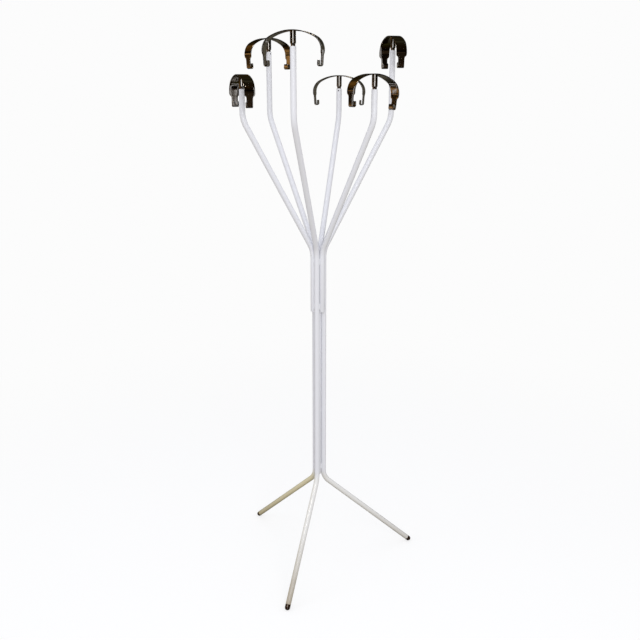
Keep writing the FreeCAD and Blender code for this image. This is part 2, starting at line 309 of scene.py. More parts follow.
@dataclass(frozen=True)
class MouldedCap:
    """Brown polyethylene foot cap, moulded in a polished mould."""

    # To the eye: glossy near-black brown with a fine grain, dusty grey where it rubs the floor.
    brown: str = "2A1B12"
    rubbed: str = "6B6156"
    grain_mm: float = 1.2
    grain_height_mm: float = 0.02
    roughness: tuple[float, float] = (0.2, 0.8)
    worn_below_m: float = 0.0035
    most_rubbed: float = 0.9
    ior: float = 1.51

    def build(self) -> Material:
        """Builds the material.

        Returns:
            The material.
        """
        material, add, place = new_material("moulded_brown_cap")
        height = add("SeparateXYZ", (place,), output="Z")
        grain = add("TexNoise", spaced(place, self.grain_mm, Detail=3))
        near = add("MapRange", (height, self.worn_below_m, 0, 0, self.most_rubbed))
        rub = add("Math", (near, grain), operation="MULTIPLY")
        colour = add("Mix", (rub, linear(self.brown), linear(self.rubbed)), data_type="RGBA")
        rough = add("MapRange", (rub, 0, 1, *self.roughness))
        return close_material(material, {"Base Color": colour, "Roughness": rough, "IOR": self.ior},
                              grain, 0.2, self.grain_height_mm)


@dataclass(frozen=True)
class NaturalNylon:
    """Natural nylon, turned from bar."""

    # To the eye: milky ivory, satin, with faint rings from turning.
    ivory: str = "DDD6C4"
    shade: str = "CFC6AF"
    ring_mm: float = 0.8
    ring_height_mm: float = 0.02
    roughness: float = 0.42
    ior: float = 1.53

    def build(self) -> Material:
        """Builds the material.

        Returns:
            The material.
        """
        material, add, place = new_material("natural_nylon")
        rings = add("TexWave", spaced(place, self.ring_mm * WAVE_BANDS, Distortion=0.6), output="Fac",
                    bands_direction="Z")
        colour = add("Mix", (rings, linear(self.ivory), linear(self.shade)), data_type="RGBA")
        return close_material(material, {"Base Color": colour, "Roughness": self.roughness, "IOR": self.ior},
                              rings, 0.2, self.ring_height_mm)


@dataclass(frozen=True)
class BlackOxideSteel:
    """Steel screw, blackened in a hot oxide bath."""

    # To the eye: near black, satin, with a little brown rust in patches.
    black: str = "1D1B1A"
    rust: str = "4A2E1C"
    patch_mm: float = 1.8
    patch_band: tuple[float, float] = (0.5, 0.7)
    patch_height_mm: float = 0.03
    roughness: tuple[float, float] = (0.38, 0.7)
    metallic: float = 0.9

    def build(self) -> Material:
        """Builds the material.

        Returns:
            The material.
        """
        material, add, place = new_material("black_oxide_steel")
        patch = add("TexNoise", spaced(place, self.patch_mm, Detail=4))
        rusty = add("MapRange", (patch, *self.patch_band))
        colour = add("Mix", (rusty, linear(self.black), linear(self.rust)), data_type="RGBA")
        rough = add("MapRange", (rusty, 0, 1, *self.roughness))
        return close_material(material, {"Base Color": colour, "Metallic": self.metallic,
                                         "Roughness": rough}, patch, 0.3, self.patch_height_mm)


class Finishes:
    """Every finish of the object, built once."""

    def __init__(self) -> None:
        """Builds the materials."""
        self.materials = {Slot.ENAMEL: StoveEnamel().build(), Slot.CHROME: BrightChrome().build(),
                          Slot.CAP: MouldedCap().build(), Slot.NYLON: NaturalNylon().build(),
                          Slot.BLACK_STEEL: BlackOxideSteel().build()}

    def dress_nodes(self) -> None:
        """Gives every CAD node the finish of its own slot."""
        slots = {part["node"]: part["material_slot"] for part in frame["record"]["subparts"]}
        for name, node in frame["nodes"].items():
            for material_slot in node.material_slots:
                material_slot.material = self.materials[Slot(slots[name])]

    def hand_over(self, piece: Object, slot: Slot, body: str, node: str) -> None:
        """Dresses a finished piece and ties it to the frame.

        Args:
            piece: The finished piece.
            slot: Its material slot.
            body: The CAD body that it rides on.
            node: The CAD node that it stands for.
        """
        piece.data.materials.clear()
        piece.data.materials.append(self.materials[slot])
        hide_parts(node)
        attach(piece, body)
        low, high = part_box(node)
        corners = [vertex.co for vertex in piece.data.vertices]
        off = max(max(abs(min(c[i] for c in corners) - low[i]), abs(max(c[i] for c in corners) - high[i]))
                  for i in range(3))
        log.info("%s: %d faces, box within %.2f mm of its CAD node", piece.name, len(piece.data.polygons),
                 off / MM)


# ---- pieces and shapes


@dataclass(frozen=True)
class Stand:
    """Where one shape goes: mm to metres, leaned, turned on its spigot, and turned about the column."""

    azimuth: float = 0.0  # degrees about the column
    centre: Vector = Vector((0, 0, 0))  # what the piece turns and leans about, mm
    turn: float = 0.0  # degrees about the upright line through the centre
    lean: float = 0.0  # degrees about the line out from the column through the centre

    def matrix(self) -> Matrix:
        """The transform from the shape's own millimetres to the object's metres.

        Returns:
            The matrix.
        """
        turned = Matrix.Rotation(math.radians(self.turn), 4, UP)
        leaned = Matrix.Rotation(math.radians(self.lean), 4, OUT)
        about_centre = Matrix.Translation(self.centre) @ turned @ leaned @ Matrix.Translation(-self.centre)
        return Matrix.Scale(MM, 4) @ Matrix.Rotation(math.radians(self.azimuth), 4, UP) @ about_centre


def shade(mesh: Mesh, smooth_below: float = 35.0) -> None:
    """Shades a mesh smooth across edges that bend less than some degrees."""
    for face in mesh.polygons:
        face.use_smooth = True
    mesh.set_sharp_from_angle(angle=math.radians(smooth_below))


def new_piece(shape: BMesh, name: str, stand: Stand,
              smooth_below: float = 35.0) -> Object:
    """Makes an object of a shape, its place in its mesh.

    Args:
        shape: The shape in millimetres, freed here.
        name: The object's name.
        stand: Where it goes.
        smooth_below: Edges that bend less than this many degrees are shaded smooth.

    Returns:
        The object, at the origin.
    """
    bmesh.ops.transform(shape, matrix=stand.matrix(), verts=shape.verts[:])
    mesh = bpy.data.meshes.new(name)
    shape.to_mesh(mesh)
    shape.free()
    shade(mesh, smooth_below)
    piece = bpy.data.objects.new(name, mesh)
    bpy.context.scene.collection.objects.link(piece)
    return piece


def bake_modifiers(piece: Object) -> None:
    """Puts what a piece's modifiers make into its mesh.

    Args:
        piece: The piece.
    """
    graph = bpy.context.evaluated_depsgraph_get()
    baked = bpy.data.meshes.new_from_object(piece.evaluated_get(graph), depsgraph=graph)
    piece.modifiers.clear()
    piece.data = baked


def cut_away(piece: Object, tool: BMesh, stand: Stand) -> None:
    """Cuts a tool's shape out of a piece.

    Args:
        piece: The piece that is cut.
        tool: The closed cutting shape in millimetres, freed here.
        stand: Where the tool goes.
    """
    cutter = new_piece(tool, "cutter", stand)
    boolean = piece.modifiers.new("cut", "BOOLEAN")
    boolean.operation, boolean.solver, boolean.object = "DIFFERENCE", "EXACT", cutter
    bake_modifiers(piece)
    bpy.data.objects.remove(cutter)


def facing(place: Vector, heading: Vector) -> Matrix:
    """The transform that stands an upright shape at a place, along a heading."""
    return Matrix.Translation(place) @ heading.to_track_quat("Z", "X").to_matrix().to_4x4()


def ends_of(row: list[BMEdge]) -> list[BMVert]:
    """The vertices of a row of edges, each once and in order."""
    return list(dict.fromkeys(end for edge in row for end in edge.verts))


class Sweep:
    """Feeds and bends a row of edges along a path, as a bending or rolling machine does."""

    def __init__(self, shape: BMesh, place: Vector, heading: Vector) -> None:
        """Holds the first row.

        Args:
            shape: A shape that has the row's edges and nothing else, mm.
            place: The row's middle.
            heading: The way that the sweep leaves it.
        """
        self.shape, self.row = shape, shape.edges[:]
        self.place, self.heading = place.copy(), heading.normalized()

    def feed(self, length: float, steps: int = 1) -> None:
        """Pushes a straight length through.

        Args:
            length: The length, mm.
            steps: Rows of faces along it.
        """
        for _ in range(steps):
            grown = bmesh.ops.extrude_edge_only(self.shape, edges=self.row)["geom"]
            ends = [item for item in grown if isinstance(item, BMVert)]
            self.row = [item for item in grown if isinstance(item, BMEdge)
                        and all(end in ends for end in item.verts)]
            bmesh.ops.translate(self.shape, vec=self.heading * (length / steps), verts=ends)
            self.place += self.heading * (length / steps)

    def bend(self, turn: float, radius: float, onward: Vector, steps: int) -> None:
        """Bends the sweep.

        Args:
            turn: Angle of the bend, radians.
            radius: Radius of the bend, mm.
            onward: The way that it bends towards.
            steps: Rows of faces along it.
        """
        toward = (onward - self.heading * onward.dot(self.heading)).normalized()
        centre, axis = self.place + toward * radius, self.heading.cross(toward)
        grown = bmesh.ops.spin(self.shape, geom=self.row + ends_of(self.row), cent=centre, axis=axis,
                               angle=turn, steps=steps, use_merge=False, use_duplicate=False)
        self.row = [item for item in grown["geom_last"] if isinstance(item, BMEdge)]
        rotation = Matrix.Rotation(turn, 3, axis)
        self.place = centre + rotation @ (self.place - centre)
        self.heading = rotation @ self.heading


class TubeBender(Sweep):
    """Feeds and bends a ring of tube wall."""

    ring_turn = math.radians(3)  # bend between two rings of faces

    def __init__(self, radius: float, start: Vector, heading: Vector, sides: int = 48) -> None:
        """Makes the tube's first ring.

        Args:
            radius: Outside radius, mm.
            start: Centre of the ring.
            heading: The way that the tube leaves it.
            sides: Faces round the tube.
        """
        shape = bmesh.new()
        bmesh.ops.create_circle(shape, cap_ends=False, segments=sides, radius=radius)
        bmesh.ops.transform(shape, matrix=facing(start, heading.normalized()), verts=shape.verts[:])
        super().__init__(shape, start, heading)

    def follow(self, corners: list[Vector], radii: list[float]) -> None:
        """Feeds and bends the tube along straight runs joined by tangent arcs.

        Args:
            corners: Start, corners and end of the centre line.
            radii: Bend radius at each inner corner.
        """
        used = 0.0
        for here, corner, beyond, radius in zip(corners, corners[1:], corners[2:], radii):
            onward = (beyond - corner).normalized()
            turn = self.heading.angle(onward)
            run = radius * math.tan(turn / 2)
            self.feed((corner - here).length - used - run)
            self.bend(turn, radius, onward, max(2, round(turn / self.ring_turn)))
            used = run
        self.feed((corners[-1] - corners[-2]).length - used)

    def wall(self, thickness: float, rim_round: float) -> BMesh:
        """Gives the tube its wall and rounds the rims of its ends.

        Args:
            thickness: Wall thickness, mm.
            rim_round: Size of the rims' rounding, mm.

        Returns:
            The finished shape.
        """
        bmesh.ops.recalc_face_normals(self.shape, faces=self.shape.faces[:])
        bmesh.ops.solidify(self.shape, geom=self.shape.faces[:], thickness=thickness)
        rims = [edge for edge in self.shape.edges if edge.calc_face_angle(0) > math.radians(60)]
        bmesh.ops.bevel(self.shape, geom=rims, offset=rim_round, segments=2, profile=0.5, affect="EDGES",
                        material=-1)
        return self.shape


class Lathe:
    """Turns a profile of lines and arcs about the upright axis."""

    def __init__(self, radius: float, height: float) -> None:
        """Starts the profile at a point."""
        self.shape = bmesh.new()
        self.tip = self.shape.verts.new((radius, 0, height))

    def line_to(self, *points: tuple[float, float]) -> "Lathe":
        """Draws straight lines from point to point.

        Args:
            points: Radius and height of each point.

        Returns:
            The lathe.
        """
        for radius, height in points:
            self.tip = bmesh.ops.extrude_vert_indiv(self.shape, verts=[self.tip])["verts"][0]
            self.tip.co = Vector((radius, 0, height))
        return self

    def arc(self, radius: float, height: float, degrees: float, steps: int) -> "Lathe":
        """Draws an arc about a centre.

        Args:
            radius: The centre's distance from the axis.
            height: The centre's height.
            degrees: Angle of the arc, anticlockwise with the axis on the left.
            steps: Lines along the arc.

        Returns:
            The lathe.
        """
        grown = bmesh.ops.spin(self.shape, geom=[self.tip], cent=(radius, 0, height), axis=(0, -1, 0),
                               angle=math.radians(degrees), steps=steps, use_merge=False,
                               use_duplicate=False)
        self.tip = next(item for item in grown["geom_last"] if isinstance(item, BMVert))
        return self

    def turn(self, sides: int = 48) -> BMesh:
        """Turns the profile a full circle.

        Args:
            sides: Faces round the shape.

        Returns:
            The closed shape.
        """
        bmesh.ops.spin(self.shape, geom=self.shape.verts[:] + self.shape.edges[:], cent=(0, 0, 0), axis=UP,
                       angle=math.tau, steps=sides, use_merge=True, use_duplicate=False)
        bmesh.ops.remove_doubles(self.shape, verts=self.shape.verts[:], dist=0.001)
        bmesh.ops.recalc_face_normals(self.shape, faces=self.shape.faces[:])
        return self.shape


def rod(radius: float, start: Vector, end: Vector, end_radius: Optional[float] = None) -> BMesh:
    """A closed rod or cone between two points.

    Args:
        radius: Radius at the start, mm.
        start: Centre of the first end.
        end: Centre of the second end.
        end_radius: Radius at the end, if it isn't the same.

    Returns:
        The shape.
    """
    shape = bmesh.new()
    bmesh.ops.create_cone(shape, cap_ends=True, segments=32, radius1=radius, depth=(end - start).length,
                          matrix=facing((start + end) / 2, end - start),
                          radius2=radius if end_radius is None else end_radius)
    return shape


def at(out: float, height: float, across: float = 0.0) -> Vector:
    """A point in mm, given by its distance out from the column's axis in the front leg's plane."""
    return OUT * out + UP * height + ACROSS * across


# ---- the object


@dataclass(frozen=True)
class Arm:
    """One arm of the tree, read from the joint of its hook."""

    name: str
    body: str
    azimuth: float  # degrees
    radius: float  # column axis to the arm's upright end, mm
    tube_top: float  # mm
    tier: Tier

    @staticmethod
    def from_joint(joint: dict) -> "Arm":
        """Reads an arm from its hook's joint.

        Args:
            joint: The joint, as the frame gives it.

        Returns:
            The arm.
        """
        x, y, z = (value / MM for value in joint["pos_m"])
        name = joint["child"].removeprefix("hook_")
        tier = Tier.HIGH if Tier.HIGH.value + name in frame["nodes"] else Tier.LOW
        return Arm(name, joint["child"], math.degrees(math.atan2(x, -y)), math.hypot(x, y), z, tier)


@dataclass
class Tubework:
    """The welded frame of bent tubes, its core tube, foot caps and weld beads. Sizes are in mm."""

    finishes: Finishes
    wall: float = 1.5
    gap: float = 0.1  # paint between neighbouring tubes
    leg_corner: float = 308.0
    arm_corner: float = 1135.0
    upright_corner: float = 1552.0
    leg_bend: float = 60.0
    arm_bend: float = 95.0
    rim_round: float = 0.35
    dome_height: float = 8.25  # floor to the centre of a foot cap's dome
    collar: float = 9.25  # straight part of a foot cap
    cap_stem: float = 20.0
    cap_edge: float = 0.4
    grub_radius: float = 2.0
    grub_drop: float = 6.5  # tube top to the grub screw's axis
    bead_radius: float = 2.2
    bead_out: float = 0.56  # as a share of a tube's radius
    bead_end: float = 0.15  # a bead's size at its ends, as a share of the whole
    bead_taper: int = 8  # power of its profile: the higher, the blunter its ends
    ripple: float = 1.8  # spacing of the weld's ripples
    ripple_rings: int = 4
    ripple_depth: float = 0.1  # as a share of the bead's radius
    body: str = "frame"

    def __post_init__(self) -> None:
        """Reads the tube's size and the feet's place from the frame."""
        low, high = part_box("core_tube")
        self.radius = (high.x - low.x) / 2 / MM
        self.bore = self.radius - self.wall
        self.ring = 2 * self.radius + self.gap
        self.foot_radius = -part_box("foot_cap_front")[0].y / MM - self.radius
        self.short_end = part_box("short_tube_back")[0].z / MM

    def leg_heading(self) -> Vector:
        """The way that a front leg runs down from the column."""
        return (at(self.foot_radius, self.dome_height) - at(self.ring, self.leg_corner)).normalized()

    def bent_tube(self, arm: Arm) -> BMesh:
        """A whole long or short tube in the front leg's plane.

        Args:
            arm: The arm that it is part of.

        Returns:
            The shape.
        """
        corners = [at(self.ring, self.arm_corner), at(arm.radius, self.upright_corner),
                   at(arm.radius, arm.tube_top)]
        radii = [self.arm_bend, self.arm_bend]
        if arm.tier is Tier.HIGH:
            foot_end = at(self.foot_radius, self.dome_height) - self.leg_heading() * self.collar
            corners = [foot_end, at(self.ring, self.leg_corner)] + corners
            radii = [self.leg_bend] + radii
        else:
            corners = [at(self.ring, self.short_end)] + corners
        hole_zone = 2 * self.grub_drop
        above_hole = self.grub_drop - self.grub_radius - 1
        bender = TubeBender(self.radius, corners[0], corners[1] - corners[0])
        bender.follow(corners[:-1] + [corners[-1] - UP * hole_zone], radii)
        bender.feed(hole_zone - above_hole)
        bender.feed(above_hole)
        return bender.wall(self.wall, self.rim_round)

    def build_tube(self, arm: Arm) -> None:
        """Builds one bent tube with its grub screw's hole.

        Args:
            arm: The arm that it is part of.
        """
        stand = Stand(arm.azimuth)
        piece = new_piece(self.bent_tube(arm), "tube_" + arm.name, stand, smooth_below=50)
        axis = at(arm.radius, arm.tube_top - self.grub_drop)
        cut_away(piece, rod(self.grub_radius, axis, axis - OUT * (self.radius + SPARE)), stand)
        self.finishes.hand_over(piece, Slot.ENAMEL, self.body, arm.tier.value + arm.name)

    def build_cap(self, arm: Arm) -> None:
        """Builds the domed cap of a leg, cut flat where it stands.

        Args:
            arm: The arm whose tube is the leg.
        """
        edge, stem_end = self.cap_edge, -self.collar - self.cap_stem
        lathe = Lathe(0, stem_end)
        lathe.line_to((self.bore - edge, stem_end), (self.bore, stem_end + edge), (self.bore, -self.collar),
                      (self.radius - edge, -self.collar))
        lathe.arc(self.radius - edge, -self.collar + edge, 90, 4)
        shape = lathe.line_to((self.radius, 0)).arc(0, 0, 90, 16).turn()
        foot = at(self.foot_radius, self.dome_height)
        bmesh.ops.transform(shape, matrix=facing(foot, self.leg_heading()), verts=shape.verts[:])
        cut = bmesh.ops.bisect_plane(shape, geom=shape.verts[:] + shape.edges[:] + shape.faces[:],
                                     plane_co=(0, 0, 0), plane_no=-UP, clear_outer=True, dist=0.0001)
        rim = [item for item in cut["geom_cut"] if isinstance(item, BMEdge)]
        bmesh.ops.holes_fill(shape, edges=rim, sides=0)
        bmesh.ops.recalc_face_normals(shape, faces=shape.faces[:])
        piece = new_piece(shape, "foot_" + arm.name, Stand(arm.azimuth))
        self.finishes.hand_over(piece, Slot.CAP, self.body, "foot_cap_" + arm.name)

    def build_core(self) -> None:
        """Builds the straight tube in the middle of the column."""
        low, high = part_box("core_tube")
        bender = TubeBender(self.radius, at(0, low.z / MM), UP)
        bender.feed((high.z - low.z) / MM)
        piece = new_piece(bender.wall(self.wall, self.rim_round), "tube_core", Stand(), smooth_below=50)
        self.finishes.hand_over(piece, Slot.ENAMEL, self.body, "core_tube")

    def bead(self, first: Vector, second: Vector, bottom: float, top: float) -> BMesh:
        """A rippled weld bead in the valley between two tubes.

        Args:
            first: Centre of one tube at floor level.
            second: Centre of the other.
            bottom: Height of the bead's lower end.
            top: Height of its upper end.

        Returns:
            The shape.
        """
        side = (second - first).cross(UP).normalized()
        middle = (first + second) / 2 + side * (self.radius * self.bead_out)
        rings = round((top - bottom) / self.ripple * self.ripple_rings)
        bender = TubeBender(self.bead_radius * self.bead_end, middle + UP * bottom, UP, sides=12)
        before = self.bead_end
        for step in range(rings):
            bender.feed((top - bottom) / rings)
            from_middle = 2 * (step + 1) / rings - 1
            dip = self.ripple_depth * (step % self.ripple_rings) / (self.ripple_rings - 1)
            now = max(self.bead_end, 1 - from_middle ** self.bead_taper) * (1 - dip)
            bmesh.ops.scale(bender.shape, vec=(now / before, now / before, 1),
                            space=Matrix.Translation(-bender.place), verts=ends_of(bender.row))
            before = now
        bmesh.ops.holes_fill(bender.shape, edges=bender.shape.edges[:], sides=0)
        bmesh.ops.recalc_face_normals(bender.shape, faces=bender.shape.faces[:])
        return bender.shape

    def build_welds(self, node: str, pairs: list[tuple[Vector, Vector]]) -> None:
        """Builds one group of weld beads.

        Args:
            node: The CAD node that the group stands for.
            pairs: Centres of the tubes that each bead joins.
        """
        low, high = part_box(node)
        whole = bmesh.new()
        for first, second in pairs:
            bead = self.bead(first, second, low.z / MM, high.z / MM)
            mesh = bpy.data.meshes.new("bead")
            bead.to_mesh(mesh)
            bead.free()
            whole.from_mesh(mesh)
            bpy.data.meshes.remove(mesh)
        piece = new_piece(whole, node.replace("welds", "weld_beads"), Stand(), smooth_below=60)
        self.finishes.hand_over(piece, Slot.ENAMEL, self.body, node)

    def build(self, arms: list[Arm]) -> None:
        """Builds every tube, cap and weld.

        Args:
            arms: The tree's arms.
        """
        self.build_core()
        for arm in arms:
            self.build_tube(arm)
            if arm.tier is Tier.HIGH:
                self.build_cap(arm)
        centres = {arm: Matrix.Rotation(math.radians(arm.azimuth % 360), 3, UP) @ at(self.ring, 0)
                   for arm in sorted(arms, key=lambda arm: arm.azimuth % 360)}
        around = list(centres.values())
        neighbours = list(zip(around, around[1:] + around[:1]))
        self.build_welds("welds_top", neighbours)
        self.build_welds("welds_middle", neighbours)
        core = Vector((0, 0, 0))
        legs = [centres[arm] for arm in arms if arm.tier is Tier.HIGH]
        self.build_welds("welds_bottom", [(core, leg) for leg in legs] + [(leg, core) for leg in legs])


@dataclass
class StripHook:
    """A chromed strip arch on its turned post. Sizes are in mm."""

    finishes: Finishes
    rise: float = 43.0  # tube top to the top of the arch
    width: float = 33.5
    thickness: float = 2.8
    half_span: float = 87.5
    depth: float = 53.0  # top to the widest point
    shoulder: float = 40.0
    draft: float = 3.5  # degrees that the legs run inwards
    crease: float = 5.0
    shoulder_drop: float = 54.0  # top to the start of the narrowing
    tongue_drop: float = 72.0  # top to where the tongue has its own width
    tongue: float = 20.0
    curl: float = 5.0  # to the middle of the strip
    curl_depth: float = 97.0
    curl_tip: float = 10.5
    tip_corner: float = 2.5
    edge_round: float = 0.55
    post_radius: float = 8.5
    post_sunk: float = 0.3  # how much lower than its CAD node's top, inside the strip, it ends
    post_edge: float = 0.4
    neck_radius: float = 6.5
    neck_height: float = 5.0
    neck_taper: float = 3.0
    spigot_radius: float = 5.0
    spigot_length: float = 36.0
    spigot_edge: float = 1.0
    running_gap: float = 0.05
    groove_radius: float = 3.5
    groove_top: float = 4.2  # below the tube top
    groove_bottom: float = 8.8
    screw_radius: float = 2.5
    screw_head: float = 4.7  # with 0.1 of play
    screw_sink: float = 2.1
    screw_proud: float = 0.05  # how far above the strip its countersink starts

    def crown(self) -> float:
        """Radius of the crown arc that meets the shoulder arc smoothly.

        Returns:
            The radius, to the middle of the strip.
        """
        offset = self.half_span - self.thickness / 2 - self.shoulder
        depth = self.depth - self.thickness / 2
        return (offset ** 2 + depth ** 2 - self.shoulder ** 2) / (2 * (depth - self.shoulder))

    def half_width(self, drop: float) -> float:
        """Half the strip's width at a depth: two quarter rounds lead from the arch to its tongue.

        Args:
            drop: Depth below the top of the arch.

        Returns:
            The half width.
        """
        half, tongue = self.width / 2, self.tongue / 2
        share = (drop - self.shoulder_drop) / (self.tongue_drop - self.shoulder_drop)
        share = min(max(share, 0.0), 1.0)
        if share < 0.5:
            eased = 1 - math.sqrt(1 - (2 * share) ** 2)
        else:
            eased = 1 + math.sqrt(1 - (2 - 2 * share) ** 2)
        return half + (tongue - half) * eased / 2

    def rolled_half(self, top: float) -> BMesh:
        """The middle surface of half an arch, rolled from its crown to its tip.

        Args:
            top: Height of the arch's top.

        Returns:
            The open shape.
        """
        shape = bmesh.new()
        middle = top - self.thickness / 2
        start = [shape.verts.new(at(side * self.width / 2, middle)) for side in (1, 0.5, 0, -0.5, -1)]
        for pair in zip(start, start[1:]):
            shape.edges.new(pair)
        strip = Sweep(shape, at(0, middle), ACROSS)

        def roll(turn: float, radius: float, steps: int) -> None:
            """Rolls the strip's end inwards by an angle."""
            strip.bend(turn, radius, strip.heading.cross(OUT), steps)

        draft = math.radians(self.draft)
        crown_turn = math.atan2(self.half_span - self.thickness / 2 - self.shoulder,
                                self.crown() - self.depth + self.thickness / 2)
        roll(crown_turn, self.crown(), 14)
        roll(math.pi / 2 - crown_turn, self.shoulder, 18)
        roll(draft, self.crease, 2)
        curl_height = top - self.curl_depth + self.curl + self.thickness / 2
        straight = (strip.place.z - curl_height + self.curl * math.sin(draft)) / math.cos(draft)
        narrowing = (strip.place.z - top + self.tongue_drop) / math.cos(draft)
        strip.feed(narrowing, 16)
        strip.feed(straight - narrowing, 2)
        roll(math.pi, self.curl, 18)
        strip.feed(self.curl_tip, 2)
        for vertex in shape.verts:
            vertex.co.y *= self.half_width(top - vertex.co.z) / (self.width / 2)
        corners = [vertex for vertex in ends_of(strip.row) if len(vertex.link_edges) == 2]
        bmesh.ops.bevel(shape, geom=corners, offset=self.tip_corner, segments=5, profile=0.5,
                        affect="VERTICES", material=-1)
        return shape

    def build_band(self, arm: Arm, stand: Stand) -> None:
        """Builds the strip: rolled, mirrored, thickened, its edges rounded and its screw hole sunk.

        Args:
            arm: The arm that it stands on.
            stand: Where it goes.
        """
        top = arm.tube_top + self.rise
        shape = self.rolled_half(top)
        bmesh.ops.mirror(shape, geom=shape.verts[:] + shape.edges[:] + shape.faces[:], merge_dist=0.001,
                         axis="X")
        bmesh.ops.recalc_face_normals(shape, faces=shape.faces[:])
        bmesh.ops.translate(shape, vec=OUT * arm.radius, verts=shape.verts[:])
        piece = new_piece(shape, "arch_" + arm.name, stand)
        wall = piece.modifiers.new("wall", "SOLIDIFY")
        wall.thickness, wall.offset, wall.use_even_offset = self.thickness * MM, 0, True
        edges = piece.modifiers.new("edges", "BEVEL")
        edges.width, edges.segments, edges.limit_method = self.edge_round * MM, 3, "ANGLE"
        edges.angle_limit = math.radians(50)
        bake_modifiers(piece)
        head = at(arm.radius, top)
        cut_away(piece, rod(self.screw_head, head + UP * self.screw_proud, head - UP * self.screw_sink,
                            self.screw_radius), stand)
        shade(piece.data)
        self.finishes.hand_over(piece, Slot.CHROME, arm.body, "hook_band_" + arm.name)

    def build_post(self, arm: Arm, stand: Stand) -> None:
        """Turns the post with its neck and spigot.

        Args:
            arm: The arm that it stands on.
            stand: Where it goes, apart from the strip's lean.
        """
        tube, edge = arm.tube_top, self.post_edge
        post, neck, spigot, groove = self.post_radius, self.neck_radius, self.spigot_radius, self.groove_radius
        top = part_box("hook_post_" + arm.name)[1].z / MM - self.post_sunk
        base, spigot_end = tube + self.running_gap, tube - self.spigot_length
        groove_low, groove_high = tube - self.groove_bottom, tube - self.groove_top
        taper_top = base + self.neck_height + self.neck_taper
        lathe = Lathe(0, spigot_end)
        lathe.line_to((spigot - self.spigot_edge, spigot_end), (spigot, spigot_end + self.spigot_edge),
                      (spigot, groove_low), (groove, groove_low), (groove, groove_high),
                      (spigot, groove_high), (spigot, base), (neck - edge, base))
        lathe.arc(neck - edge, base + edge, 90, 4)
        lathe.line_to((neck, base + self.neck_height), (post - edge, taper_top - edge))
        # The taper's edge is broken by an arc that almost meets the post's side.
        lathe.arc(post - 1.8 * edge, taper_top + 0.5 * edge, 45, 4)
        lathe.line_to((post, taper_top + edge), (post, top), (0, top))
        shape = lathe.turn()
        bmesh.ops.translate(shape, vec=OUT * arm.radius, verts=shape.verts[:])
        piece = new_piece(shape, "post_" + arm.name, Stand(arm.azimuth, stand.centre, stand.turn))
        self.finishes.hand_over(piece, Slot.CHROME, arm.body, "hook_post_" + arm.name)

    def build(self, arm: Arm, turn: float, lean: float) -> None:
        """Builds one hook.

        Args:
            arm: The arm that it stands on.
            turn: Degrees that it stands turned on its spigot.
            lean: Degrees that the strip leans over on its post.
        """
        stand = Stand(arm.azimuth, at(arm.radius, arm.tube_top + self.rise), turn, lean)
        self.build_post(arm, stand)
        self.build_band(arm, stand)


# ---- studio

# The mirrored room's walls, from behind the object round its left, front and right sides to behind it.
WALLS = [(0.0, "504D44"), (0.14, "625441"), (0.2, "B58952"), (0.3, "B58952"), (0.36, "46301E"),
         (0.45, "3C2C1E"), (0.7, "3A2E22"), (0.82, "3C362C"), (0.9, "504D44"), (1.0, "504D44")]
# How bright the room is at each height, from straight down to straight up.
STOREYS = [(0.0, "9A9860"), (0.1, "6A6440"), (0.2, "38342C"), (0.28, "D8D8D8"), (0.42, "CECECE"),
           (0.5, "262626"), (0.518, "262626"), (0.53, "F0F0F0"), (0.552, "F0F0F0"), (0.565, "2C2C2C"),
           (0.62, "343434"), (0.7, "726848"), (0.85, "7E7658"), (1.0, "A8A490")]
# Light for the painted surfaces, from straight down to straight up.
SOFTBOX = [(0.0, "7A6E54"), (0.25, "A8A090"), (0.42, "D6D5D6"), (0.56, "E6E7ED"), (1.0, "E2E3E8")]


